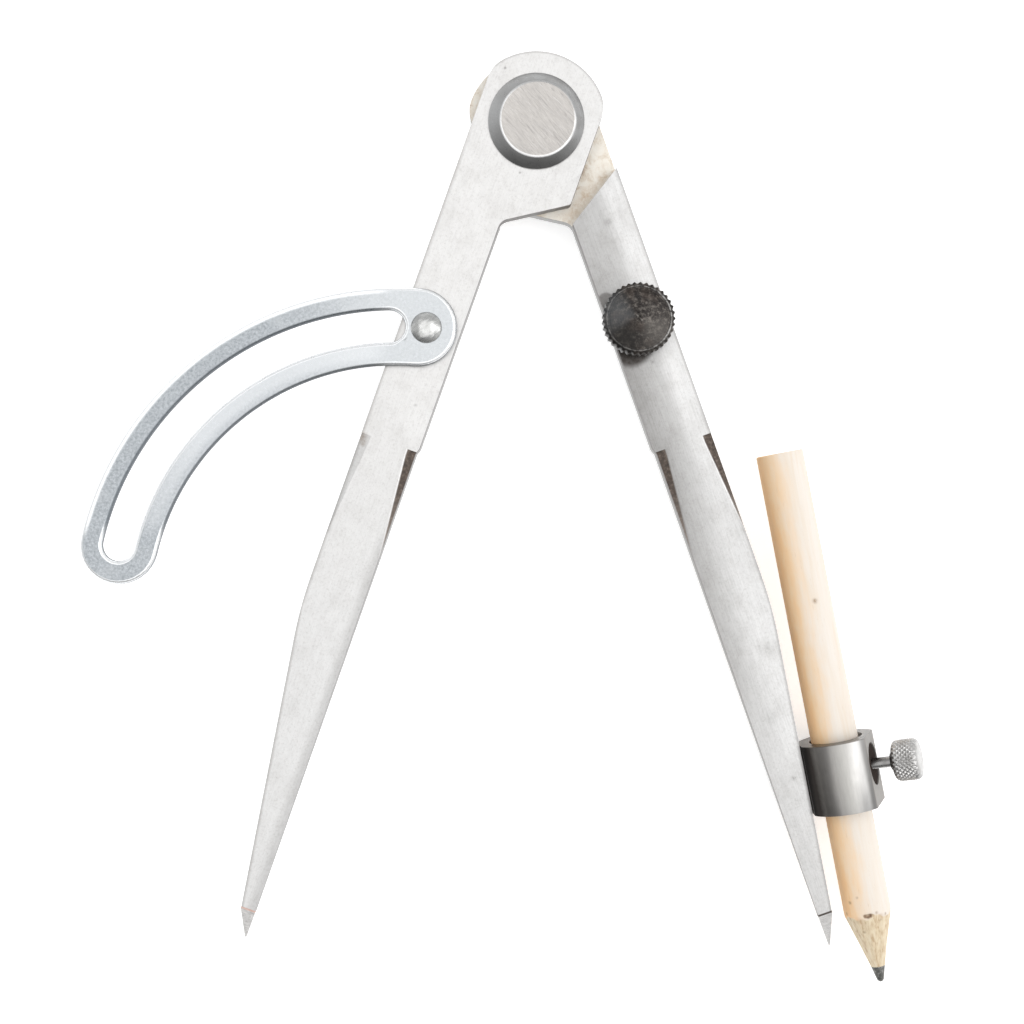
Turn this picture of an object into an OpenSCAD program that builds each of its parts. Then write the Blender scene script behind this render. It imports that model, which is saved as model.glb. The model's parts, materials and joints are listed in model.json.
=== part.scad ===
// Woodworker's wing compass, 150 mm class, lying on its back.
// X runs to the right, Y towards the head, Z out of the front faces.
// The origin is on the pivot axis, at the flat rear face of the pivot washer.

/* [Opening] */
// angle of each leg from the centre line, in degrees
half_opening = 19.6; // [10:0.1:45]
// turn of the lock arc from lying square across its leg, in degrees
arc_turn = 103.4; // [80:0.1:120]

/* [Legs] */
// half width of the head and width of the strip, in mm
leg_width = 9.58; // [9:0.01:10.5]
// thickness of the strip above the ground taper
leg_thickness = 5.6; // [4.5:0.1:6.5]
// gap from each inner edge to the centre line of the closed legs
edge_gap = 0.05; // [0.02:0.01:0.2]
// radius of the rounded head about the pivot
head_radius = 11.15; // [10.8:0.05:12]
// blend radius from the round head into its straight sides
head_blend = 5; // [3:0.1:6]
// distance along the leg where the outer edge turns inwards
taper_start = 85.3; // [75:0.1:95]
// angle of the outer edge below that turn, in degrees
taper_angle = 8.33; // [7:0.01:9]
// radius of that turn
taper_blend = 70; // [20:1:100]
// distance along the leg where the faces start to thin
grind_start = 57; // [45:1:70]
// angle each face is ground to, in degrees
grind_angle = 1.5; // [0.5:0.1:1.6]

// distance along the leg where the inner edge steps back
waist_start = 55.3; // [50:0.1:60]
// step of the inner edge at that distance
waist_depth = 0.3; // [0:0.05:0.5]

/* [Lap joint] */
// slope of the shoulder and of the lobe's lower edge, in degrees
lap_slope = 32.4; // [25:0.1:40]
// distance from the pivot to the shoulder
shoulder_reach = 14.65; // [14.6:0.05:16]
// distance from the pivot to the lobe's lower edge
lobe_reach = 14.15; // [13:0.05:14.2]
// corner radius of the lobe
lobe_corner = 0.6; // [0.3:0.1:1.5]
// radius in the notch between lobe and leg
notch_radius = 2; // [1:0.1:3]
// clearance between the sliding lap faces
lap_gap = 0.02; // [0.01:0.01:0.05]

/* [Edge reliefs] */
// distance along the leg where the oxidised edge reliefs start
relief_start = 56; // [50:0.5:65]
// width of a relief across the face
relief_width = 1.6; // [1:0.1:2.2]
// depth of a relief below the face
relief_depth = 0.45; // [0.2:0.05:0.6]

/* [Hard points] */
// distance from the pivot to the joint of the needle leg's point
needle_joint = 133.9; // [130:0.1:135]
// distance from the pivot to the tip of the needle leg
needle_tip = 138.5; // [137:0.1:141]
// distance from the pivot to the joint of the pencil leg's point
pencil_joint = 134.6; // [130:0.1:135]
// distance from the pivot to the tip of the pencil leg
pencil_tip = 139.9; // [137:0.1:141]
// thickness of the brazed seam behind a point
seam = 0.3; // [0.1:0.05:0.5]

/* [Pivot] */
// radius of the pivot rivet's shank
pivot_r = 3; // [2.5:0.1:4]
// outer radius of the rivet head and of the rear washer
collar_r = 7.65; // [6.5:0.05:8.5]
// radius of the flat on the rivet head and on the rear washer
collar_flat_r = 5.95; // [5:0.05:6.5]
// height of the rivet head and of the rear washer
collar_h = 1.5; // [1.2:0.05:2.2]

/* [Lock arc] */
// radius of the middle line of the arc
arc_radius = 45.1; // [42:0.05:48]
// half width of the arc and radius of its ends
arc_half = 6.2; // [5.5:0.1:7]
// half width of the slot
slot_half = 2.55; // [2.2:0.05:2.8]
// angle from the rivet to the middle of the near end, in degrees
arc_near = 1.74; // [0:0.01:3]
// angle from the rivet to the near end of the slot, in degrees
slot_near = 7.5; // [6.5:0.1:12]
// angle from the rivet to the far end of arc and slot, in degrees
arc_far = 82.8; // [70:0.1:90]
// thickness of the arc
arc_thickness = 1.5; // [1:0.1:2]
// position of the rivet along the leg
rivet_u = 36.92; // [34:0.01:40]
// position of the rivet across the leg
rivet_w = 5.32; // [4.5:0.01:5.5]
// radius of the rivet's shank
rivet_r = 1.5; // [1.2:0.1:1.8]
// radius of the rivet's domed head
rivet_head_r = 2.5; // [2:0.1:3]
// height of the rivet's domed head
rivet_head_h = 1; // [0.6:0.1:1.4]

/* [Lock knob] */
// position of the lock screw along the leg
lock_u = 35.48; // [33:0.01:38]
// position of the lock screw across the leg
lock_w = 4.28; // [4:0.01:5.2]
// radius of the lock screw
lock_r = 2; // [1.8:0.1:2.2]
// radius over the crests of the knurl
knob_r = 5.7; // [5.3:0.05:6]
// depth of the knurl
knurl_depth = 0.35; // [0.2:0.05:0.5]
// number of knurled teeth
knurl_teeth = 37; // [24:1:48]
// height of the knurled band
knob_h = 3.6; // [3:0.1:5]
// height of the shallow cone on top
knob_cone_h = 0.95; // [0.3:0.05:1.2]
// radius of the hub that bears on the arc
hub_r = 3; // [2.8:0.1:3.4]
// height of the hub
hub_h = 2; // [1.8:0.1:3]

/* [Pencil clamp] */
// angle between the pencil leg's inner edge and the pencil, in degrees
clamp_tilt = 8.7; // [8.3:0.1:9.1]
// distance of the ring's middle from the pivot, measured along the pencil
ring_at = 111.4; // [108:0.1:115]
// distance of the ring's axis from the pivot, measured across the pencil
ring_side = 28.65; // [28.6:0.01:28.8]
// outer radius of the ring
ring_r = 6.4; // [6:0.05:6.6]
// radius of the ring's bore
ring_bore_r = 4.25; // [4.15:0.05:4.4]
// length of the ring
ring_len = 11.2; // [10:0.05:13]
// tilt of the clamp screw towards the front, in degrees
screw_tilt = 22; // [0:1:30]
// thickness of the brazed film between ring and leg
ring_film = 0.15; // [0.1:0.05:0.2]
// distance of the clamp screw from the pivot, measured along the pencil
screw_at = 110.6; // [109:0.1:113]
// distance from the ring's axis to the milled flat under the screw
flat_reach = 5.3; // [5.1:0.01:5.5]
// radius of the spot face on the flat
spot_r = 3.4; // [2.5:0.1:3.4]
// depth of the spot face
spot_depth = 0.2; // [0.1:0.05:0.3]
// radius of the clamp screw
screw_r = 0.95; // [0.8:0.05:1.2]
// distance from the ring's axis to the screw's inner end
screw_in = 3.62; // [3.6:0.01:3.9]
// distance from the ring's axis to the knurled head
screw_head_at = 8.1; // [7.5:0.1:9]
// length of the knurled head
screw_head_len = 4.6; // [4:0.1:6]
// radius of the knurled head
screw_head_r = 3.3; // [3:0.1:3.8]

/* [Pencil] */
// radius of the pencil
pencil_r = 3.75; // [3.6:0.05:3.8]
// distance of the pencil's axis from the pivot, measured across the pencil
pencil_side = 28.44; // [28.4:0.01:28.5]
// distance of the flat cut end from the pivot, measured along the pencil
pencil_top = 59.14; // [55:0.1:70]
// distance of the start of the sharpened cone
cone_start = 134.4; // [130:0.1:136]
// distance where the wood ends and the bare graphite starts
wood_end = 142.9; // [140:0.1:144]
// distance of the graphite's blunt tip
graphite_end = 145.6; // [144.5:0.1:147]
// radius of the graphite core
graphite_r = 1.15; // [0.9:0.05:1.3]

/* [Hidden] */
$fn = 64;
far = 200;
arc_step = 3;
running = 0.05;
z_back = collar_h;
z_front = collar_h + leg_thickness;
z_mid = collar_h + leg_thickness / 2;
z_arc = z_front + running;
half_t = leg_thickness / 2;

function ring_points(centre, r, from, to, step) = let (n = ceil(abs(to - from) / step))
    [for (i = [0:n]) let (a = from + (to - from) * i / n) centre + r * [cos(a), sin(a)]];

function edge_w(u) = leg_width - (u - taper_start) * tan(taper_angle);

function face_half(u) = half_t - max(0, u - grind_start) * tan(grind_angle);

// Outline of one leg: x along the leg from the pivot, y outwards from its inner edge.
module leg_outline(joint) {
    blend_w = leg_width - head_blend;
    blend_u = -sqrt(pow(head_radius - head_blend, 2) - pow(blend_w, 2));
    blend_a = atan2(blend_w, blend_u);
    corner = [
        (lobe_reach - lobe_corner - sin(lap_slope) * (leg_width - lobe_corner)) / cos(lap_slope),
        lobe_corner - leg_width
    ];
    notch_w = edge_gap - notch_radius;
    notch = [(lobe_reach + notch_radius + sin(lap_slope) * notch_w) / cos(lap_slope), notch_w];
    bend = [taper_start - taper_blend * tan(taper_angle / 2), leg_width - taper_blend];
    polygon(concat(
        ring_points([blend_u, blend_w], head_blend, 90, blend_a, 6),
        ring_points([0, 0], head_radius, blend_a, 360 - blend_a, arc_step),
        ring_points([blend_u, -blend_w], head_blend, 360 - blend_a, 270, 6),
        ring_points(corner, lobe_corner, 270, 360 - lap_slope, 10),
        ring_points(notch, notch_radius, 180 - lap_slope, 90, 8),
        [[waist_start, edge_gap], [waist_start + 1, edge_gap + waist_depth]],
        [[joint, edge_gap], [joint, edge_w(joint)]],
        ring_points(bend, taper_blend, 90 - taper_angle, 90, 1)
    ));
}

// Side profile both faces are ground to, extruded across the leg.
module ground_profile(reach) {
    translate([0, far / 2, z_mid])
        rotate([90, 0, 0])
            linear_extrude(far)
                polygon([
                    [-20, half_t], [grind_start, half_t], [reach, face_half(reach)],
                    [reach, -face_half(reach)], [grind_start, -half_t], [-20, -half_t]
                ]);
}

// One relief: a long three-sided groove along an edge at y, on the side facing z.
module edge_relief(y, inwards, z, down) {
    translate([relief_start, 0, 0])
        rotate([90, 0, 90])
            linear_extrude(24)
                polygon([
                    [y - inwards, z - down], [y + inwards * relief_width, z],
                    [y, z + down * relief_depth], [y - inwards, z + down * relief_depth]
                ]);
}

// Everything on one side of the shoulder, from the middle plane outwards.
module lap_cut(z_low) {
    rotate([0, 0, lap_slope])
        translate([shoulder_reach - 60, -40, z_low])
            cube([60, 80, half_t + 1]);
}

module leg_blank(joint) {
    difference() {
        intersection() {
            translate([0, 0, z_back])
                linear_extrude(leg_thickness)
                    leg_outline(joint);
            ground_profile(joint);
        }
        edge_relief(leg_width, -1, z_front, -1);
        edge_relief(edge_gap + waist_depth, 1, z_front, -1);
        edge_relief(leg_width, -1, z_back, 1);
        edge_relief(edge_gap + waist_depth, 1, z_back, 1);
        translate([0, 0, -1])
            cylinder(h = far, r = pivot_r + running);
    }
}

// Frame of the left leg: x along it, y outwards.
module needle_side() {
    rotate([0, 0, -90 - half_opening])
        mirror([0, 1, 0])
            children();
}

// Frame of the right leg: x along it, y outwards.
module pencil_side_frame() {
    rotate([0, 0, half_opening - 90])
        children();
}

// Frame of the pencil: x along it towards its tip, y away from the leg, z from the middle.
module pencil_frame() {
    translate([0, 0, z_mid])
        rotate([0, 0, half_opening - clamp_tilt - 90])
            children();
}

// Frame of the clamp screw: z outwards from the ring's axis.
module screw_frame() {
    pencil_frame()
        translate([screw_at, ring_side, 0])
            rotate([screw_tilt - 90, 0, 0])
                children();
}

// Section of a leg between two distances, used for seam and point.
module leg_slice(from, to, w_low, w_high) {
    translate([from, w_low, z_mid - face_half(from)])
        cube([to - from, w_high - w_low, 2 * face_half(from)]);
}

module leg_point(joint, tip) {
    start = joint + seam;
    tip_half = 0.12;
    intersection() {
        translate([0, 0, z_back])
            linear_extrude(leg_thickness)
                polygon([[start, edge_gap], [start, edge_w(joint)], [tip, 0.35], [tip, 0.1]]);
        translate([0, far / 2, z_mid])
            rotate([90, 0, 0])
                linear_extrude(far)
                    polygon([
                        [start, face_half(joint)], [tip, tip_half],
                        [tip, -tip_half], [start, -face_half(joint)]
                    ]);
    }
}

module collar_profile(bore) {
    rotate_extrude()
        polygon([
            [bore, 0], [collar_flat_r, 0], [collar_r, collar_h - 0.35],
            [collar_r, collar_h], [bore, collar_h]
        ]);
}

module needle_leg() {
    color([0.86, 0.86, 0.85])
        needle_side()
            difference() {
                leg_blank(needle_joint);
                lap_cut(z_mid + lap_gap / 2 - half_t - 1);
                translate([rivet_u, rivet_w, -1])
                    cylinder(h = far, r = rivet_r + running);
            }
}

module pencil_leg() {
    color([0.8, 0.8, 0.8])
        pencil_side_frame()
            difference() {
                leg_blank(pencil_joint);
                lap_cut(z_mid - lap_gap / 2);
                translate([lock_u, lock_w, -1])
                    cylinder(h = far, r = lock_r + running);
            }
}

module needle_point() {
    color([0.7, 0.69, 0.68])
        needle_side()
            leg_point(needle_joint, needle_tip);
}

module pencil_leg_point() {
    color([0.6, 0.6, 0.6])
        pencil_side_frame()
            leg_point(pencil_joint, pencil_tip);
}

module needle_point_braze() {
    color([0.8, 0.65, 0.6])
        needle_side()
            leg_slice(needle_joint, needle_joint + seam, edge_gap, edge_w(needle_joint));
}

module pencil_leg_point_braze() {
    color([0.15, 0.13, 0.12])
        pencil_side_frame()
            leg_slice(pencil_joint, pencil_joint + seam, edge_gap, edge_w(pencil_joint));
}

module pivot_rivet() {
    color([0.65, 0.63, 0.6]) {
        translate([0, 0, z_front + collar_h])
            mirror([0, 0, 1])
                collar_profile(0);
        cylinder(h = z_front + 0.5, r = pivot_r);
    }
}

module pivot_rear_washer() {
    color([0.4, 0.4, 0.4])
        intersection() {
            collar_profile(pivot_r + running);
            cylinder(h = collar_h - lap_gap, r = collar_r + 1);
        }
}

module lock_arc() {
    color([0.72, 0.76, 0.78])
        rotate([0, 0, -90 - half_opening])
            translate([rivet_u, -rivet_w, z_arc])
                rotate([0, 0, arc_turn])
                    difference() {
                        linear_extrude(arc_thickness)
                            difference() {
                                arc_band(arc_half, arc_near, arc_far);
                                arc_band(slot_half, slot_near, arc_far);
                            }
                        translate([0, 0, -1])
                            cylinder(h = 5, r = rivet_r + running);
                    }
}

// A band with round ends along the arc, between two angles from the rivet.
module arc_band(half, from, to) {
    bow = [0, -arc_radius];
    start = bow + arc_radius * [cos(90 + from), sin(90 + from)];
    end = bow + arc_radius * [cos(90 + to), sin(90 + to)];
    polygon(concat(
        ring_points(bow, arc_radius + half, 90 + from, 90 + to, arc_step / 2),
        ring_points(end, half, 90 + to, 270 + to, 10),
        ring_points(bow, arc_radius - half, 90 + to, 90 + from, arc_step / 2),
        ring_points(start, half, 270 + from, 450 + from, 10)
    ));
}

module arc_rivet() {
    dome = (pow(rivet_head_r, 2) + pow(rivet_head_h, 2)) / (2 * rivet_head_h);
    seat = z_arc + arc_thickness + 0.02;
    color([0.82, 0.81, 0.78])
        needle_side()
            translate([rivet_u, rivet_w, 0]) {
                translate([0, 0, z_back])
                    cylinder(h = seat - z_back, r = rivet_r);
                intersection() {
                    translate([0, 0, seat + rivet_head_h - dome])
                        sphere(r = dome);
                    translate([0, 0, seat])
                        cylinder(h = 3, r = rivet_head_r + 1);
                }
            }
}

module lock_screw() {
    color([0.15, 0.15, 0.15])
        pencil_side_frame()
            translate([lock_u, lock_w, z_back + 0.2])
                cylinder(h = leg_thickness + hub_h + 2.5, r = lock_r);
}

module lock_knob() {
    seat = z_front + lap_gap;
    root = knob_r - knurl_depth;
    tooth = 180 / knurl_teeth;
    color([0.1, 0.1, 0.1])
        pencil_side_frame()
            translate([lock_u, lock_w, seat])
                difference() {
                    union() {
                        cylinder(h = hub_h + 0.5, r = hub_r);
                        translate([0, 0, hub_h])
                            linear_extrude(knob_h)
                                polygon([for (i = [0:2 * knurl_teeth - 1])
                                    (i % 2 == 0 ? knob_r : root) * [cos(i * tooth), sin(i * tooth)]]);
                        translate([0, 0, hub_h + knob_h])
                            rotate_extrude()
                                polygon([
                                    [0, 0], [root - 0.15, 0], [root - 0.3, 0.15], [root - 0.45, 0.05],
                                    [0.45, knob_cone_h], [0, knob_cone_h - 0.2]
                                ]);
                    }
                    translate([0, 0, -1])
                        cylinder(h = leg_thickness + hub_h - 1.85, r = lock_r + running);
                }
}

module clamp_ring() {
    color([0.6, 0.59, 0.58])
        difference() {
            pencil_frame()
                translate([ring_at - ring_len / 2, ring_side, 0])
                    rotate([0, 90, 0])
                        difference() {
                            cylinder(h = ring_len, r = ring_r);
                            translate([0, 0, -1])
                                cylinder(h = ring_len + 2, r = ring_bore_r);
                        }
            screw_frame()
                translate([-20, -20, flat_reach])
                    cube([40, 40, 5]);
            screw_frame()
                translate([0, 0, flat_reach - spot_depth])
                    cylinder(h = 5, r = spot_r);
            screw_frame()
                cylinder(h = 10, r = screw_r + running);
            pencil_side_frame()
                translate([taper_start, leg_width, -20])
                    rotate([0, 0, -taper_angle])
                        translate([0, -20, 0])
                            cube([60, 20 + ring_film, 60]);
        }
}

// Film of braze metal that joins the ring to the leg's outer edge.
module clamp_ring_braze() {
    color([0.5, 0.45, 0.38])
        pencil_side_frame()
            translate([taper_start, leg_width, z_mid - 1.1])
                rotate([0, 0, -taper_angle])
                    translate([23.4, 0, 0])
                        cube([10.3, ring_film, 2.2]);
}

module clamp_screw() {
    color([0.5, 0.5, 0.5])
        screw_frame()
            translate([0, 0, screw_in])
                cylinder(h = screw_head_at + 3 - screw_in, r = screw_r);
}

module clamp_screw_head() {
    bevel = 0.7;
    color([0.8, 0.8, 0.79])
        screw_frame()
            translate([0, 0, screw_head_at])
                difference() {
                    rotate_extrude()
                        polygon([
                            [0, 0], [screw_head_r - bevel, 0], [screw_head_r, bevel],
                            [screw_head_r, screw_head_len - bevel],
                            [screw_head_r - bevel, screw_head_len], [0, screw_head_len]
                        ]);
                    translate([0, 0, -1])
                        cylinder(h = 4.1, r = screw_r + running);
                }
}

module pencil_wood() {
    color([0.92, 0.8, 0.6])
        pencil_frame()
            translate([0, pencil_side, 0])
                rotate([90, 0, 90])
                    rotate_extrude()
                        polygon([
                            [graphite_r + 0.01, pencil_top], [pencil_r, pencil_top],
                            [pencil_r, cone_start], [graphite_r + 0.01, wood_end]
                        ]);
}

module pencil_graphite() {
    color([0.2, 0.2, 0.21])
        pencil_frame()
            translate([0, pencil_side, 0])
                rotate([90, 0, 90])
                    rotate_extrude()
                        polygon([
                            [0, pencil_top], [graphite_r, pencil_top], [graphite_r, wood_end],
                            [0.55, graphite_end - 0.35], [0.25, graphite_end], [0, graphite_end]
                        ]);
}

needle_leg();
pencil_leg();
needle_point();
pencil_leg_point();
needle_point_braze();
pencil_leg_point_braze();
pivot_rivet();
pivot_rear_washer();
lock_arc();
arc_rivet();
lock_screw();
lock_knob();
clamp_ring();
clamp_ring_braze();
clamp_screw();
clamp_screw_head();
pencil_wood();
pencil_graphite();
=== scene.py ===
import json
import math

import bmesh
import bpy
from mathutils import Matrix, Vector


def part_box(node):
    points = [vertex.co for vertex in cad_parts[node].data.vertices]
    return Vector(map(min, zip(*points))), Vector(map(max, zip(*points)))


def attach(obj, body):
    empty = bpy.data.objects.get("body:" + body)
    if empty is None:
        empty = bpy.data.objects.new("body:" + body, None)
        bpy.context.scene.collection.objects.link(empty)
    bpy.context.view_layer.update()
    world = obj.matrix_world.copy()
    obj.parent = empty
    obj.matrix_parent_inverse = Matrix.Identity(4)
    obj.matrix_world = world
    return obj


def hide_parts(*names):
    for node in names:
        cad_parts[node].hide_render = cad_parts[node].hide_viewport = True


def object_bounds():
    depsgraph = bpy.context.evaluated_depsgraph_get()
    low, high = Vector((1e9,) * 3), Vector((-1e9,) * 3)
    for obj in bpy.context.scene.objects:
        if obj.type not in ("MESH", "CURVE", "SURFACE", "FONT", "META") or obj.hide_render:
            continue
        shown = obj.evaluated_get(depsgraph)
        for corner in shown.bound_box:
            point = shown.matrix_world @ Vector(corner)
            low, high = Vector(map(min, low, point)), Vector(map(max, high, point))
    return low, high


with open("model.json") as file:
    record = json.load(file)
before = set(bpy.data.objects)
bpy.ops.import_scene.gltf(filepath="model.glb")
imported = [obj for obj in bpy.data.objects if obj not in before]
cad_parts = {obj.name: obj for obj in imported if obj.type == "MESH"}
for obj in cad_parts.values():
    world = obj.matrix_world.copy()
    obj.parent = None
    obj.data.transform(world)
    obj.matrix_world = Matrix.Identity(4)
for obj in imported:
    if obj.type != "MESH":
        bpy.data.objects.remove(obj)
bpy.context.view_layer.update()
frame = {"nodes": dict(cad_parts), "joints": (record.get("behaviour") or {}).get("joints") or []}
JOINTS = {j["name"]: j for j in frame["joints"]}
MM = 0.001

# ---------------------------------------------------------------- frames taken from the CAD

UP = Vector((0, 0, 1))
RIGHT = Vector((1, 0, 0))
HALF_OPENING = math.radians(19.6)
LEG_TURN = math.pi / 2 - HALF_OPENING
PENCIL_AXIS = Vector(JOINTS["pencil_slide"]["axis"]).normalized()
PENCIL_ACROSS = Vector((-PENCIL_AXIS.y, PENCIL_AXIS.x, 0.0))
SCREW_AXIS = Vector(JOINTS["clamp_screw_travel"]["axis"]).normalized()
SCREW_FOOT = Vector(JOINTS["clamp_screw_turn"]["pos_m"])
KNOB_AXIS_AT = Vector(JOINTS["lock_knob_turn"]["pos_m"])
FACE_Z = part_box("needle_leg")[1].z
BACK_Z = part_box("needle_leg")[0].z
MID_Z = (FACE_Z + BACK_Z) / 2
PENCIL_TURN = -math.atan2(PENCIL_AXIS.y, PENCIL_AXIS.x)
SCREW_SIDE = SCREW_AXIS.cross(UP).normalized()

# ---------------------------------------------------------------- sizes in millimetres

MID_MM, FACE_MM = MID_Z / MM, FACE_Z / MM
HALF_T = (FACE_Z - BACK_Z) / 2 / MM
GRIND_START = 57.0                      # where the legs' faces begin to thin towards the points
GRIND_SLOPE = math.tan(math.radians(1.5))
LEG_W = 9.45                            # from the legs' inner edge to their outer edge
HEAD_R = 11.1
TAPER_START = 85.3                      # where the legs' outer edges turn in towards the points
TAPER_SLOPE = math.tan(math.radians(8.33))
ARC_CENTRE = (-22.27, -77.83)           # about which both bows of the lock arc are bent
ARC_OUTER_R, SLOT_EDGE_R, LOWER_BOW_R, LOWER_EDGE_R = 50.7, 47.85, 42.8, 39.05
PIVOT_FLAT_R, FLAT_OFFSET = 5.95, (0.24, 0.05)
KNOB_HUB_R, KNOB_HUB_H, KNOB_CONE_H, KNOB_BORE_H = 3.0, 2.0, 0.95, 4.75
KNOB_TEETH, KNOB_TOOTH, KNOB_BEAD_R, KNOB_BEAD_Z = 37, 0.27, 5.03, 12.6
LOCK_BORE_R, LOCK_PITCH = 2.05, 0.7
CLAMP_SCREW_R, CLAMP_THREAD_END, CLAMP_PITCH = 0.95, 5.0, 0.4
KNURL_STARTS, KNURL_DEPTH = 26, 0.24
SPOT_FACE_R, SPOT_FACE_AT, FLAT_AT = 3.4, 5.1, 5.3
PENCIL_R, PENCIL_CONE, PARED_FROM, GRAPHITE_R = 3.75, 8.5, 125.0, 1.15


def span(node, axis, foot=Vector((0, 0, 0))):
    """Lowest and highest reach of a CAD node along an axis, measured from a foot point."""
    reach = [(v.co - foot).dot(axis) for v in frame["nodes"][node].data.vertices]
    return min(reach), max(reach)


# where the pencil's axis runs, in mm: 0 along itself, then its distance across, then its height
PENCIL_LIFT = Vector((0, sum(span("pencil_wood", PENCIL_ACROSS)) / 2 / MM, MID_MM))


# ---------------------------------------------------------------- mesh helpers

def finish_mesh(obj, body, material, replaces=(), smooth_deg=35.0):
    """Gives a made piece its material, and puts it on its body in place of CAD nodes."""
    obj.data.materials.clear()
    obj.data.materials.append(material)
    obj.data.shade_smooth()
    obj.data.set_sharp_from_angle(angle=math.radians(smooth_deg))
    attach(obj, body)
    if replaces:
        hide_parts(*replaces)


def skin(name, rings, loop=False):
    """A closed skin through rings of equal count: capped at both ends, or joined into a loop."""
    bm = bmesh.new()
    rows = [[bm.verts.new(p) for p in ring] for ring in rings]
    count = len(rows[0])
    pairs = list(zip(rows, rows[1:])) + ([(rows[-1], rows[0])] if loop else [])
    for low, high in pairs:
        for i in range(count):
            j = (i + 1) % count
            bm.faces.new((low[i], low[j], high[j], high[i]))
    if not loop:
        bm.faces.new(list(reversed(rows[0])))
        bm.faces.new(rows[-1])
    bmesh.ops.recalc_face_normals(bm, faces=bm.faces)
    mesh = bpy.data.meshes.new(name)
    bm.to_mesh(mesh)
    bm.free()
    obj = bpy.data.objects.new(name, mesh)
    bpy.context.scene.collection.objects.link(obj)
    return obj


def turned(foot, axis, side, profile, count, crest=None):
    """Rings of a turned shape. Profile rows are (distance, radius, depth of cut) in mm; crest(distance,
    angle) runs from 0 at the bottom of a cut to 1 at its top."""
    other = axis.cross(side)
    rings = []
    for along, radius, depth in profile:
        ring = []
        for i in range(count):
            a = 2 * math.pi * i / count
            r = radius - depth * (1 - crest(along, a)) if depth else radius
            out = side * math.cos(a) + other * math.sin(a)
            ring.append(foot + (axis * along + out * r) * MM)
        rings.append(ring)
    return rings


def steps(start, end, step, radius, depth):
    """Evenly spaced profile rows from start to end."""
    count = max(1, round((end - start) / step))
    return [(start + (end - start) * i / count, radius, depth) for i in range(count + 1)]


def wave(turns):
    """A triangle wave: 0 at whole turns, 1 half-way between them."""
    return 1 - abs(2 * (turns % 1.0) - 1)


def soften(node, width, segments=2, angle=30.0, dissolve=0.3, clamp=False):
    """Rounds the sharp edges of a CAD node with modifiers; its mesh stays as it is."""
    obj = frame["nodes"][node]
    weld = obj.modifiers.new("weld", "WELD")
    weld.merge_threshold = 2e-6
    if dissolve:
        flat = obj.modifiers.new("planar", "DECIMATE")
        flat.decimate_type = "DISSOLVE"
        flat.angle_limit = math.radians(dissolve)
    bevel = obj.modifiers.new("bevel", "BEVEL")
    bevel.width = width
    bevel.segments = segments
    bevel.limit_method = "ANGLE"
    bevel.angle_limit = math.radians(angle)
    bevel.harden_normals = True
    bevel.use_clamp_overlap = clamp
    bevel.loop_slide = not clamp


# ---------------------------------------------------------------- shader helpers

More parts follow.
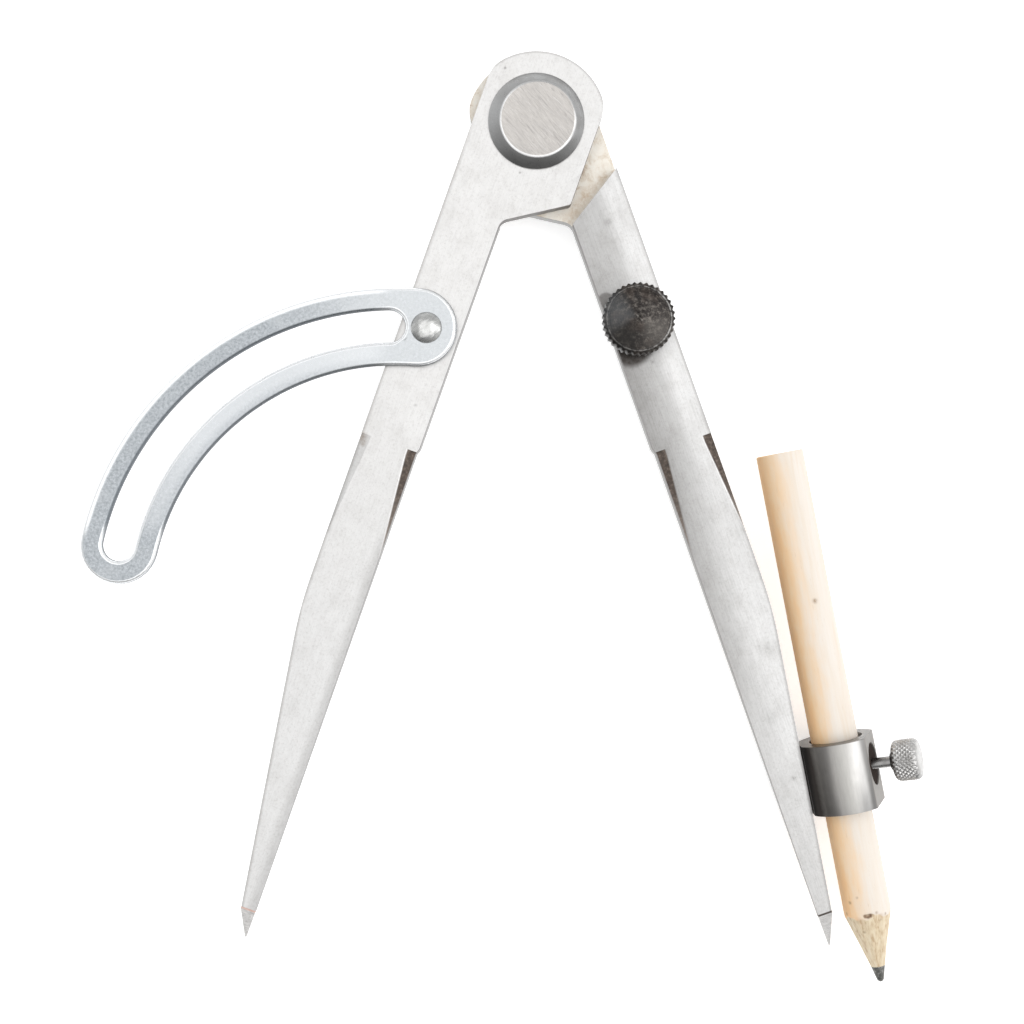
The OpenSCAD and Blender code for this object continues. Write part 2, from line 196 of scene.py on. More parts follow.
class Shader:
    """A small writer for node materials. Coordinates are millimetres in the CAD frame."""

    def __init__(self, name, rotate_z=0.0, flip_x=False, shift=(0, 0, 0), align=None):
        self.mat = bpy.data.materials.new(name)
        self.mat.use_nodes = True
        self.tree = self.mat.node_tree
        self.tree.nodes.clear()
        self.out = self.node("ShaderNodeOutputMaterial")
        self.bsdf = self.node("ShaderNodeBsdfPrincipled")
        self.tree.links.new(self.bsdf.outputs[0], self.out.inputs["Surface"])
        coords = self.node("ShaderNodeTexCoord").outputs["Object"]
        self.p = self.mapped(coords, Scale=(-1 / MM if flip_x else 1 / MM, 1 / MM, 1 / MM),
                             Rotation=align or (0, 0, rotate_z), Location=shift)
        parts = self.node("ShaderNodeSeparateXYZ")
        self.link(self.p, parts.inputs[0])
        self.x, self.y, self.z = parts.outputs
        self.normal = self.node("ShaderNodeNewGeometry").outputs["Normal"]

    def node(self, kind, **props):
        n = self.tree.nodes.new(kind)
        for key, value in props.items():
            setattr(n, key, value)
        return n

    def link(self, a, b):
        self.tree.links.new(a, b)

    def feed(self, socket, value):
        if hasattr(value, "is_output"):
            self.link(value, socket)
        else:
            socket.default_value = value

    def math(self, op, a, b=None, clamp=False):
        n = self.node("ShaderNodeMath", operation=op, use_clamp=clamp)
        self.feed(n.inputs[0], a)
        if b is not None:
            self.feed(n.inputs[1], b)
        return n.outputs[0]

    def plus(self, a, b):
        return self.math("ADD", a, b)

    def minus(self, a, b):
        return self.math("SUBTRACT", a, b)

    def times(self, a, b):
        return self.math("MULTIPLY", a, b)

    def larger(self, a, b):
        return self.math("MAXIMUM", a, b)

    def reach(self, dx, dy):
        """Distance from an axis, from the two offsets across it."""
        return self.math("SQRT", self.plus(self.times(dx, dx), self.times(dy, dy)))

    def past(self, value, start, slope):
        """0 up to a start, then rising by the slope."""
        return self.times(self.larger(self.minus(value, start), 0.0), slope)

    def smooth(self, value, low, high, out_low=0.0, out_high=1.0):
        n = self.node("ShaderNodeMapRange", interpolation_type="SMOOTHSTEP")
        self.feed(n.inputs["Value"], value)
        for key, number in (("From Min", low), ("From Max", high), ("To Min", out_low), ("To Max", out_high)):
            n.inputs[key].default_value = number
        return n.outputs["Result"]

    def near(self, value, at, far, close, strength=1.0):
        """A soft line: its full strength closer than close to a value, nothing beyond far."""
        return self.smooth(self.math("ABSOLUTE", self.minus(value, at)), far, close, 0.0, strength)

    def mix(self, fac, a, b, blend="MIX"):
        n = self.node("ShaderNodeMix", data_type="RGBA", blend_type=blend, clamp_factor=True)
        self.feed(n.inputs["Factor"], fac)
        for socket, value in ((n.inputs[6], a), (n.inputs[7], b)):
            self.feed(socket, value if hasattr(value, "is_output") else rgba(value))
        return n.outputs[2]

    def darken(self, fac, tone, shade):
        return self.mix(fac, tone, self.mix(1.0, tone, shade, "MULTIPLY"))

    def mapped(self, vector, **values):
        n = self.node("ShaderNodeMapping")
        self.link(vector, n.inputs["Vector"])
        for key, value in values.items():
            n.inputs[key].default_value = value
        return n.outputs["Vector"]

    def stretch(self, scale, turn=0.0):
        """The coordinates stretched along their axes, turned about Z first if a turn is given."""
        turned_first = self.mapped(self.p, Rotation=(0, 0, turn)) if turn else self.p
        return self.mapped(turned_first, Scale=scale)

    def noise(self, scale, detail=3.0, rough=0.55, vector=None, distortion=0.0):
        n = self.node("ShaderNodeTexNoise")
        self.link(vector or self.p, n.inputs["Vector"])
        for key, value in (("Scale", scale), ("Detail", detail), ("Roughness", rough),
                           ("Distortion", distortion)):
            n.inputs[key].default_value = value
        return n.outputs["Fac"]

    def rings(self, scale, distortion, detail=2.0):
        """Rings about the Z axis, like those a lathe leaves."""
        n = self.node("ShaderNodeTexWave", wave_type="RINGS", rings_direction="Z")
        self.link(self.p, n.inputs["Vector"])
        for key, value in (("Scale", scale), ("Distortion", distortion), ("Detail", detail)):
            n.inputs[key].default_value = value
        return n.outputs["Fac"]

    def ramp(self, fac, stops):
        n = self.node("ShaderNodeValToRGB")
        self.feed(n.inputs["Fac"], fac)
        ramp = n.color_ramp
        while len(ramp.elements) < len(stops):
            ramp.elements.new(0.5)
        for element, (at, colour) in zip(ramp.elements, stops):
            element.position = at
            element.color = rgba(colour)
        return n.outputs["Color"]

    def bump(self, height, distance_mm, strength=1.0, below=None):
        n = self.node("ShaderNodeBump")
        n.inputs["Strength"].default_value = strength
        n.inputs["Distance"].default_value = distance_mm * MM
        self.link(height, n.inputs["Height"])
        if below is not None:
            self.link(below, n.inputs["Normal"])
        self.link(n.outputs["Normal"], self.bsdf.inputs["Normal"])
        return n.outputs["Normal"]

    def vector(self, op, a, b=None, out="Vector"):
        n = self.node("ShaderNodeVectorMath", operation=op)
        self.link(a, n.inputs[0])
        if b is not None:
            n.inputs[1].default_value = b
        return n.outputs[out]

    def spot(self, at, radius, soft=0.5):
        """1 inside a round patch about a point, falling to 0 at its edge."""
        away = self.vector("DISTANCE", self.p, at, "Value")
        return self.smooth(away, radius * (1 - soft), radius, 1.0, 0.0)

    def normal_z(self):
        """1 where a face lies flat, 0 where it stands upright."""
        parts = self.node("ShaderNodeSeparateXYZ")
        self.link(self.normal, parts.inputs[0])
        return self.math("ABSOLUTE", parts.outputs[2])

    def set(self, **values):
        for key, value in values.items():
            self.feed(self.bsdf.inputs[key.replace("_", " ")], value)


def rgba(colour):
    return tuple(colour) + (1.0,) if len(colour) == 3 else tuple(colour)


def grey(level, warm=0.0):
    return (level * (1 + warm), level, level * (1 - warm))


# ---------------------------------------------------------------- materials

def leg_steel(name, left, bright, upper, mottle):
    """Ground and satin-brushed flat steel: oxide in the edge reliefs, stained lap faces, painted shade
    towards the inner edge, along the outer edge and on the walls, and on the pencil leg painted light towards
    the outer edge.
    """
    s = Shader(name, rotate_z=LEG_TURN, flip_x=left)
    u, w, z = s.x, s.y, s.z
    brush = s.noise(1.0, 4.0, 0.65, s.stretch((0.16, 7.0, 7.0)))
    fine_brush = s.noise(1.0, 3.0, 0.6, s.stretch((0.5, 22.0, 22.0)))
    speck = s.noise(2.6, 4.0, 0.8)
    pits = s.smooth(s.noise(1.3, 5.0, 0.8), 0.66, 0.76)
    clouds = s.noise(0.3, 4.0, 0.7)
    along = s.smooth(u, 45.0, 95.0)
    tone = s.mix(along, grey(upper, 0.012), grey(bright, 0.008))
    # painted shade darkens the legs towards their inner edge; on the pencil leg painted light also brightens
    # them towards the outer edge
    if left:
        inner = s.times(s.smooth(w, 2.2, 0.4, 0.0, 0.5), s.smooth(u, 66.0, 74.0))
    else:
        outer = s.times(s.smooth(w, 4.6, 7.4), s.smooth(u, 78.0, 52.0, 0.3, 1.0))
        tone = s.mix(outer, tone, grey(0.63, 0.008))
        inner = s.times(s.smooth(w, 6.2, 0.3), s.smooth(u, 15.0, 45.0, 0.2, 0.85))
        inner = s.times(inner, s.smooth(u, 88.0, 112.0, 1.0, 0.45))
    tone = s.darken(inner, tone, grey(0.58, 0.01))
    tone = s.darken(s.smooth(clouds, 0.4, 0.7, 0.0, mottle), tone, grey(0.8, 0.012))
    tone = s.darken(s.smooth(brush, 0.35, 0.7, 0.0, 0.3 if left else 0.6), tone, grey(0.8))
    tone = s.darken(s.smooth(speck, 0.46, 0.7, 0.0, 0.75), tone, grey(0.8, 0.01))
    tone = s.mix(s.times(pits, 0.5), tone, (0.22, 0.18, 0.15))

    # painted shade: the outer edges read as a thin darker line
    outer_edge = s.plus(w, s.past(u, TAPER_START, TAPER_SLOPE))
    painted_edge_shade = s.times(s.smooth(outer_edge, LEG_W - 0.45, LEG_W), s.smooth(u, 0.0, 12.0))
    rounded = s.times(s.smooth(s.reach(u, w), HEAD_R - 0.4, HEAD_R), s.smooth(u, 8.0, 4.0))
    painted_edge_shade = s.times(s.larger(painted_edge_shade, rounded), 0.8)
    tone = s.darken(painted_edge_shade, tone, grey(0.66, 0.01))
    # the walls are painted dark as shade, darkest next to the front face, over a duller sheared finish
    wall = s.smooth(s.normal_z(), 0.7, 0.35)
    sheared_and_shaded_wall = s.ramp(s.noise(1.0, 4.0, 0.7, s.stretch((0.3, 1.0, 2.5))),
                     [(0.35, (0.3, 0.29, 0.28)), (0.65, (0.17, 0.16, 0.155))])
    sheared_and_shaded_wall = s.mix(s.smooth(z, 5.6, 3.2), sheared_and_shaded_wall, grey(0.44, 0.01))
    tone = s.mix(wall, tone, sheared_and_shaded_wall)

    # depth of a point below the ground face, in mm, the same on front and rear
    lift = s.math("ABSOLUTE", s.minus(z, MID_MM))
    depth = s.minus(s.minus(HALF_T, s.past(u, GRIND_START, GRIND_SLOPE)), lift)
    facing = s.smooth(s.normal_z(), 0.55, 0.8)
    relief = s.times(s.smooth(depth, 0.02, 0.09), facing)
    relief = s.times(relief, s.smooth(u, 50.0, 52.0))
    oxide = s.ramp(s.noise(1.6, 4.0, 0.7), [(0.3, (0.035, 0.026, 0.022)), (0.55, (0.10, 0.075, 0.06)),
                                           (0.75, (0.22, 0.18, 0.15))])
    fading = s.smooth(s.plus(u, s.times(clouds, 8.0)), 66.0, 80.0)
    oxide = s.mix(fading, oxide, (0.3, 0.26, 0.23))
    if left:
        relief = s.times(relief, s.smooth(w, 5.0, 3.5))
    tone = s.mix(relief, tone, oxide)

    # the lap faces on the middle plane, stained beige and brown by old oil and rust
    lap = s.times(s.smooth(lift, 0.05, 0.12, 1.0, 0.0), s.smooth(s.normal_z(), 0.85, 0.95))
    stain = s.noise(0.55, 5.0, 0.7, distortion=0.6)
    beige = s.ramp(stain, [(0.3, (0.86, 0.83, 0.77)), (0.5, (0.82, 0.77, 0.69)), (0.62, (0.7, 0.62, 0.52)),
                           (0.76, (0.38, 0.27, 0.19))])
    tone = s.mix(lap, tone, beige)
    worn = s.larger(relief, lap)
    rough = s.smooth(fine_brush, 0.3, 0.7, 0.3, 0.46)
    rough = s.math("ADD", rough, s.times(s.larger(worn, wall), 0.2), clamp=True)
    s.set(Base_Color=tone, Metallic=s.smooth(worn, 0.0, 1.0, 1.0, 0.35), Roughness=rough, Anisotropic=0.35)
    scratch = s.plus(s.times(fine_brush, 0.7), s.times(speck, 0.5))
    s.bump(pits, -0.02, 0.5, s.bump(scratch, 0.012, 0.5))
    return s


def smudges_and_shadows(s, spots, colour=(0.13, 0.12, 0.115), soft=1.0, ragged=0.75):
    """Irregular marks, for smudges and stains and also for painted shadow; spots are (x, y, z, radius,
    strength) in the material's own frame, in mm.
    """
    tone = s.bsdf.inputs["Base Color"].links[0].from_socket
    broken = s.noise(1.8, 4.0, 0.75)
    for x, y, z, radius, strength in spots:
        worn = s.smooth(broken, 0.3, 0.65, strength * (1 - ragged), strength)
        patch = s.times(s.spot((x, y, z), radius, soft), worn)
        tone = s.mix(patch, tone, colour)
    s.set(Base_Color=tone)


def point_steel(name, left, level):
    s = Shader(name, rotate_z=LEG_TURN, flip_x=left)
    ground = s.noise(1.0, 4.0, 0.6, s.stretch((9.0, 0.8, 0.8)))
    spots = s.noise(2.2, 3.0, 0.6)
    tone = s.mix(s.smooth(ground, 0.35, 0.7), grey(level, 0.02), grey(level * 0.72, 0.02))
    tone = s.mix(s.smooth(spots, 0.55, 0.75, 0.0, 0.5), tone, (0.28, 0.24, 0.21))
    s.set(Base_Color=tone, Metallic=1.0, Roughness=s.smooth(spots, 0.3, 0.7, 0.26, 0.42))
    s.bump(ground, 0.01, 0.5)
    return s.mat


def braze(name, left, light, dark):
    s = Shader(name, rotate_z=LEG_TURN, flip_x=left)
    mottle = s.noise(3.0, 4.0, 0.7)
    s.set(Base_Color=s.ramp(mottle, [(0.3, light), (0.7, dark)]), Metallic=0.6,
          Roughness=s.smooth(mottle, 0.3, 0.7, 0.4, 0.7))
    s.bump(mottle, 0.03, 0.8)
    return s.mat


def pivot_steel(name):
    """Turned rivet head: a scratched bright flat inside a satin chamfer, the chamfer with painted shade
    towards the bottom and painted light on the left, and a painted highlight on the burr at the flat's edge.
    """
    s = Shader(name)
    top = s.smooth(s.normal_z(), 0.93, 0.985)
    scratch = s.noise(1.0, 5.0, 0.75, s.stretch((0.4, 4.0, 3.0), math.radians(50)), 1.2)
    hair = s.noise(1.0, 3.0, 0.7, s.stretch((0.3, 10.0, 3.0), math.radians(42)), 0.8)
    patch = s.noise(0.32, 3.0, 0.6)
    flat = s.ramp(scratch, [(0.3, (0.52, 0.495, 0.47)), (0.52, (0.43, 0.41, 0.39)),
                            (0.72, (0.28, 0.265, 0.26))])
    flat = s.mix(s.smooth(hair, 0.56, 0.7, 0.0, 0.5), flat, grey(0.66, 0.01))
    flat = s.mix(s.smooth(patch, 0.4, 0.7, 0.0, 0.35), flat, (0.42, 0.4, 0.385))
    worn = s.noise(0.35, 2.0, 0.5)
    chamfer = s.mix(s.smooth(worn, 0.35, 0.7), grey(0.42), grey(0.34, 0.01))
    # painted shade on the chamfer towards the bottom, and painted light on its left side
    chamfer = s.mix(s.smooth(s.y, 2.0, -7.0, 0.0, 0.85), chamfer, grey(0.19, 0.02))
    chamfer = s.mix(s.smooth(s.x, -3.0, -7.0, 0.0, 0.5), chamfer, grey(0.46))
    tone = s.mix(top, chamfer, flat)

    # a painted highlight on the burr turned over the flat's edge, brightest from the left round to the bottom
    dx, dy = s.minus(s.x, FLAT_OFFSET[0]), s.minus(s.y, FLAT_OFFSET[1])
    burr_glint = s.near(s.reach(dx, dy), PIVOT_FLAT_R, 0.24, 0.06, 0.75)
    glint_side = s.larger(s.smooth(dx, 1.0, -5.0), s.smooth(dy, -1.5, -5.5))
    burr_glint = s.times(burr_glint, s.plus(s.times(glint_side, 0.6), s.smooth(worn, 0.3, 0.7, 0.1, 0.5)))
    s.set(Base_Color=s.mix(burr_glint, tone, grey(0.95)), Metallic=1.0,
          Roughness=s.smooth(scratch, 0.3, 0.7, 0.26, 0.36))
    lathe = s.noise(1.0, 2.0, 0.6, s.stretch((0.05, 0.05, 14.0)))
    s.bump(s.times(lathe, s.minus(1.0, top)), 0.01, 0.4, s.bump(scratch, 0.02, 0.5))
    return s.mat


def washer_steel(name):
    s = Shader(name)
    mottle = s.noise(0.6, 4.0, 0.65)
    tone = s.ramp(mottle, [(0.3, (0.3, 0.29, 0.28)), (0.55, (0.2, 0.19, 0.185)), (0.75, (0.1, 0.09, 0.085))])
    s.set(Base_Color=tone, Metallic=1.0, Roughness=s.smooth(mottle, 0.3, 0.7, 0.3, 0.5))
    s.bump(s.rings(2.2, 1.0), 0.012, 0.5)
    return s.mat


def zinc(name):
    """Bright zinc plate: a fine bluish spangle, with painted highlights on the rounded rims and painted shade
    on the cut walls.
    """
    s = Shader(name)
    grain = s.noise(2.3, 5.0, 0.78)
    fine = s.noise(5.5, 3.0, 0.7)
    wide = s.noise(0.12, 3.0, 0.6)
    tone = s.ramp(grain, [(0.36, (0.43, 0.455, 0.475)), (0.5, (0.355, 0.375, 0.395)),
                          (0.64, (0.26, 0.28, 0.295))])
    tone = s.mix(s.smooth(fine, 0.5, 0.75, 0.0, 0.5), tone, (0.22, 0.24, 0.26))
    tone = s.mix(s.smooth(wide, 0.5, 0.75, 0.0, 0.4), tone, (0.5, 0.515, 0.53))

    # the two bows between the eye and the far end: the lower one catches more light
    reach = s.reach(s.minus(s.x, ARC_CENTRE[0]), s.minus(s.y, ARC_CENTRE[1]))
    bow = s.times(s.smooth(s.x, -22.0, -27.0), s.smooth(s.y, -67.0, -63.0))
    lower_band = s.times(s.smooth(reach, LOWER_BOW_R, LOWER_BOW_R - 0.6),
                         s.smooth(s.x, -65.0, -52.0, 0.3, 0.85))
    lower_band = s.times(lower_band, s.smooth(reach, LOWER_EDGE_R + 0.05, LOWER_EDGE_R + 1.85, 0.35, 1.0))
    tone = s.mix(s.times(bow, lower_band), tone, (0.57, 0.585, 0.6))
    # painted light: the arc grows lighter towards its right end
    tone = s.mix(s.smooth(s.x, -44.0, -20.0, 0.0, 0.6), tone, (0.62, 0.635, 0.645))
    lean = s.normal_z()

    # painted highlights on the rolled rims, but painted shade in a dark line along the slot's and the lower
    # bow's edge
    slot_shade_line = s.near(reach, SLOT_EDGE_R, 0.36, 0.1, 0.62)
    lower_edge_shade_line = s.near(reach, LOWER_EDGE_R, 0.34, 0.1, 0.6)
    edge_shade_lines = s.times(s.larger(slot_shade_line, lower_edge_shade_line), bow)
    rim = s.larger(s.smooth(lean, 0.998, 0.95), s.times(s.smooth(reach, ARC_OUTER_R - 0.6, ARC_OUTER_R), bow))
    shaded = s.larger(s.near(reach, SLOT_EDGE_R + 0.05, 0.8, 0.55),
                      s.near(reach, LOWER_EDGE_R + 0.05, 0.8, 0.55))
    rim = s.times(rim, s.minus(1.0, s.times(shaded, bow)))
    tone = s.mix(rim, tone, (0.95, 0.96, 0.97))
    tone = s.mix(edge_shade_lines, tone, (0.17, 0.19, 0.21))
    # painted shade on the cut walls
    tone = s.mix(s.smooth(lean, 0.6, 0.35), tone, (0.16, 0.175, 0.19))
    s.set(Base_Color=tone, Metallic=1.0, Roughness=s.smooth(grain, 0.3, 0.7, 0.24, 0.4))
    s.bump(s.plus(grain, s.times(fine, 0.5)), 0.01, 0.25)
    return s.mat


def dome_steel(name):
    """Hammered rivet head: bright, with a few slanting flats left by the hammer."""
    s = Shader(name)
    mottle = s.noise(1.3, 4.0, 0.7)
    dents = s.noise(1.0, 2.0, 0.5, s.stretch((0.5, 1.5, 1.0), math.radians(-40)))
    tone = s.ramp(mottle, [(0.35, (0.62, 0.62, 0.61)), (0.6, (0.5, 0.5, 0.49)), (0.75, (0.36, 0.35, 0.34))])
    tone = s.mix(s.smooth(dents, 0.52, 0.66, 0.0, 0.5), tone, grey(0.36))
    s.set(Base_Color=tone, Metallic=1.0, Roughness=s.smooth(mottle, 0.3, 0.7, 0.2, 0.36))
    s.bump(dents, 0.15, 0.6)
    return s.mat


def black_oxide(name, centre, bead=0.0):
    """Blackened steel, brown where handled, with faint lathe rings; on a knob, a painted sheen in sectors on
    the cone, a painted highlight on the bead, brightest on the right, and a painted glint at the lathe
    centre.
    """
    s = Shader(name, shift=(-centre.x / MM, -centre.y / MM, 0))
    mottle = s.noise(1.4, 5.0, 0.8)
    brown = s.noise(0.35, 2.0, 0.5)
    hair = s.noise(1.0, 3.0, 0.7, s.stretch((0.4, 6.0, 1.0), math.radians(40)), 1.2)
    rings = s.rings(0.75, 0.5, 3.0)
    tone = s.ramp(mottle, [(0.36, (0.02, 0.018, 0.017)), (0.5, (0.034, 0.03, 0.028)),
                           (0.62, (0.13, 0.117, 0.105))])
    tone = s.mix(s.smooth(brown, 0.5, 0.7, 0.0, 0.5), tone, (0.07, 0.052, 0.043))
    tone = s.mix(s.smooth(rings, 0.7, 0.98, 0.0, 0.1), tone, (0.12, 0.115, 0.11))
    tone = s.mix(s.smooth(hair, 0.6, 0.72, 0.0, 0.35), tone, (0.2, 0.19, 0.18))
    if bead:
        # the cone's sheen: one dark and two lighter sectors
        reach = s.reach(s.x, s.y)
        for bearing, shade, strength in ((235, (0.018, 0.017, 0.016), 0.75), (165, (0.1, 0.105, 0.11), 0.5),
                                         (320, (0.09, 0.083, 0.076), 0.5)):
            ray = math.radians(bearing)
            along = s.plus(s.times(s.x, math.cos(ray)), s.times(s.y, math.sin(ray)))
            sector = s.smooth(s.math("DIVIDE", along, s.plus(reach, 0.3)), 0.55, 0.98, 0.0, strength)
            tone = s.mix(sector, tone, shade)
        # painted highlight on the bead, brightest on the right side
        bead_highlight = s.near(reach, bead, 0.2, 0.06)
        bead_highlight = s.times(bead_highlight, s.smooth(mottle, 0.42, 0.58, 0.1, 1.0))
        bead_highlight = s.times(bead_highlight, s.smooth(s.math("DIVIDE", s.x, reach), -0.3, 0.9, 0.25, 1.0))
        tone = s.mix(s.times(bead_highlight, s.smooth(s.z, KNOB_BEAD_Z - 0.3, KNOB_BEAD_Z)), tone, (0.34, 0.33, 0.32))
        # painted glint: a short bright line across the lathe centre
        across = s.math("ABSOLUTE", s.plus(s.x, s.y))
        apex_glint = s.times(s.smooth(across, 0.26, 0.08), s.smooth(reach, 0.85, 0.4))
        tone = s.mix(s.times(apex_glint, 0.7), tone, (0.2, 0.185, 0.17))
    s.set(Base_Color=tone, Metallic=0.9, Roughness=s.smooth(mottle, 0.3, 0.7, 0.26, 0.42))
    s.bump(mottle, 0.03, 0.5, s.bump(rings, 0.012, 0.35))
    return s.mat


def turned_steel(name, axis, foot, level):
    """Satin steel with the fine rings of a lathe about its own axis."""
    turn = axis.to_track_quat("Z", "Y").inverted()
    s = Shader(name, align=turn.to_euler("XYZ"), shift=tuple(-(turn @ (foot / MM))))
    rings = s.noise(1.0, 3.0, 0.7, s.stretch((0.05, 0.05, 9.0)))
    mottle = s.noise(0.8, 4.0, 0.65)
    tone = s.mix(s.smooth(rings, 0.35, 0.7), grey(level, 0.015), grey(level * 0.78, 0.02))
    tone = s.mix(s.smooth(mottle, 0.5, 0.75, 0.0, 0.5), tone, grey(level * 0.55, 0.05))
    s.set(Base_Color=tone, Metallic=1.0, Roughness=s.smooth(mottle, 0.3, 0.7, 0.24, 0.38))
    s.bump(rings, 0.015, 0.5)
    return s.mat


def ring_steel(name):
    """Satin collar with painted shade across it: black on the side next to the leg, growing lighter towards
    the far side.
    """
    s = Shader(name, rotate_z=PENCIL_TURN, shift=-PENCIL_LIFT)
    corners = [(v.co.dot(PENCIL_AXIS) / MM, v.co.dot(PENCIL_ACROSS) / MM - PENCIL_LIFT.y)
               for v in frame["nodes"]["clamp_ring"].data.vertices]
    top, bottom = min(a for a, b in corners), max(a for a, b in corners)
    top_side = min(b for a, b in corners if a < top + 0.5)
    bottom_side = min(b for a, b in corners if a > bottom - 0.5)
    slant = s.times(s.minus(s.x, top), (bottom_side - top_side) / (bottom - top))
    from_leg = s.minus(s.minus(s.y, top_side), slant)
    satin = s.noise(1.0, 4.0, 0.65, s.stretch((0.5, 3.0, 3.0)))
    mottle = s.noise(0.9, 4.0, 0.65)
    # painted shade: darkest next to the leg, growing lighter across the collar
    shade_across = s.plus(from_leg, s.smooth(mottle, 0.2, 0.8, -0.06, 0.06))
    tone = s.ramp(s.times(shade_across, 0.1), [(0.0, (0.02, 0.018, 0.017)), (0.085, (0.03, 0.026, 0.024)),
                                       (0.15, (0.16, 0.15, 0.14)), (0.32, (0.24, 0.23, 0.22)),
                                       (0.56, (0.44, 0.43, 0.41)), (0.8, (0.5, 0.49, 0.48))])
    tone = s.darken(s.smooth(satin, 0.35, 0.7, 0.0, 0.3), tone, grey(0.75))
    tone = s.mix(s.smooth(s.x, top + 0.14, top + 0.04, 0.0, 0.75), tone, (0.12, 0.11, 0.1))

    # a darker band of painted reflection, the flat for the screw and the spot face in it; the last two are
    # dull
    screw = Vector((SCREW_AXIS.dot(PENCIL_AXIS), SCREW_AXIS.dot(PENCIL_ACROSS), SCREW_AXIS.z))
    foot = Vector((SCREW_FOOT.dot(PENCIL_AXIS), SCREW_FOOT.dot(PENCIL_ACROSS), SCREW_FOOT.z)) / MM
    from_foot = s.vector("SUBTRACT", s.p, foot - PENCIL_LIFT)
    out = s.vector("DOT_PRODUCT", from_foot, screw, "Value")
    off_axis = s.vector("LENGTH", s.vector("CROSS_PRODUCT", from_foot, screw), None, "Value")
    tone = s.mix(s.smooth(out, 4.3, 4.95, 0.0, 0.8), tone, (0.17, 0.165, 0.16))
    flat = s.smooth(out, FLAT_AT - 0.15, FLAT_AT - 0.05)
    tone = s.mix(flat, tone, (0.27, 0.255, 0.24))
    spot_face = s.times(s.smooth(off_axis, SPOT_FACE_R + 0.05, SPOT_FACE_R - 0.1),
                        s.smooth(out, SPOT_FACE_AT - 0.15, SPOT_FACE_AT - 0.05))
    tone = s.mix(spot_face, tone, (0.05, 0.04, 0.036))
    matt = s.larger(spot_face, s.times(flat, 0.45))
    s.set(Base_Color=tone, Metallic=s.minus(1.0, matt), Roughness=s.smooth(mottle, 0.3, 0.7, 0.3, 0.36),
          Specular_IOR_Level=0.0)
    s.bump(satin, 0.008, 0.4)
    return s.mat


def bare_wood(name):
    """Uncoated pencil wood: straight grain, fine pores, and a painted warm shade, orange-tan, along one side.
    """
    s = Shader(name, rotate_z=PENCIL_TURN, shift=-PENCIL_LIFT)
    grain = s.noise(1.0, 4.0, 0.6, s.stretch((0.06, 0.7, 0.7)), 0.5)
    patchy = s.noise(1.0, 4.0, 0.65, s.stretch((0.13, 0.5, 0.5)))
    fibre = s.noise(1.0, 3.0, 0.6, s.stretch((0.16, 7.0, 7.0)))
    pores = s.smooth(s.noise(1.0, 2.0, 0.5, s.stretch((0.6, 9.0, 9.0))), 0.68, 0.76)
    tone = s.ramp(grain, [(0.3, (0.78, 0.725, 0.665)), (0.5, (0.77, 0.7, 0.625)), (0.7, (0.75, 0.655, 0.55))])
    tone = s.mix(s.smooth(fibre, 0.4, 0.7, 0.0, 0.18), tone, (0.76, 0.64, 0.5))
    # painted shade: warm orange-tan towards one side, broken up by patches
    warm_shade_side = s.plus(s.y, s.smooth(patchy, 0.25, 0.75, 0.8, -0.8))
    tone = s.mix(s.smooth(warm_shade_side, 0.9, -3.8, 0.0, 0.85), tone, (0.87, 0.58, 0.3))
    tone = s.mix(s.smooth(warm_shade_side, -1.9, -4.8, 0.0, 0.8), tone, (0.84, 0.5, 0.25))
    below_skin = s.smooth(s.reach(s.y, s.z), PENCIL_R - 0.06, PENCIL_R - 0.16)
    pared = s.times(below_skin, s.smooth(s.x, PARED_FROM, PARED_FROM + 1.0))
    cut_grain = s.noise(1.0, 3.0, 0.6, s.stretch((0.1, 2.2, 2.2)), 0.3)
    bare = s.ramp(cut_grain, [(0.35, (0.74, 0.64, 0.48)), (0.52, (0.67, 0.55, 0.38)),
                              (0.66, (0.52, 0.38, 0.24))])
    tone = s.mix(pared, tone, bare)
    tone = s.mix(s.times(pores, 0.35), tone, (0.5, 0.34, 0.2))
    s.set(Base_Color=tone, Roughness=s.smooth(fibre, 0.3, 0.7, 0.5, 0.66), Specular_IOR_Level=0.35)
    height = s.minus(s.times(fibre, 0.6), s.times(pores, 0.6))
    s.bump(height, 0.035, 0.5)
    return s


def graphite(name):
    s = Shader(name)
    streak = s.noise(1.6, 4.0, 0.7)
    tone = s.ramp(streak, [(0.3, (0.06, 0.06, 0.056)), (0.52, (0.13, 0.13, 0.12)), (0.66, (0.32, 0.31, 0.3))])
    s.set(Base_Color=tone, Metallic=0.45, Roughness=s.smooth(streak, 0.3, 0.7, 0.32, 0.5))
    s.bump(streak, 0.04, 0.6)
    return s.mat


def floor_paint(name):
    s = Shader(name)
    mottle = s.noise(0.02, 3.0, 0.5)
    s.set(Base_Color=s.mix(mottle, grey(0.93), grey(0.95)), Roughness=0.9, Specular_IOR_Level=0.1)
    s.set(Emission_Color=(1, 1, 1, 1), Emission_Strength=0.42)
    return s.mat


# ---------------------------------------------------------------- metal parts kept from the CAD

def dress(node, material):
    slots = frame["nodes"][node].data.materials
    slots.clear()
    slots.append(material)


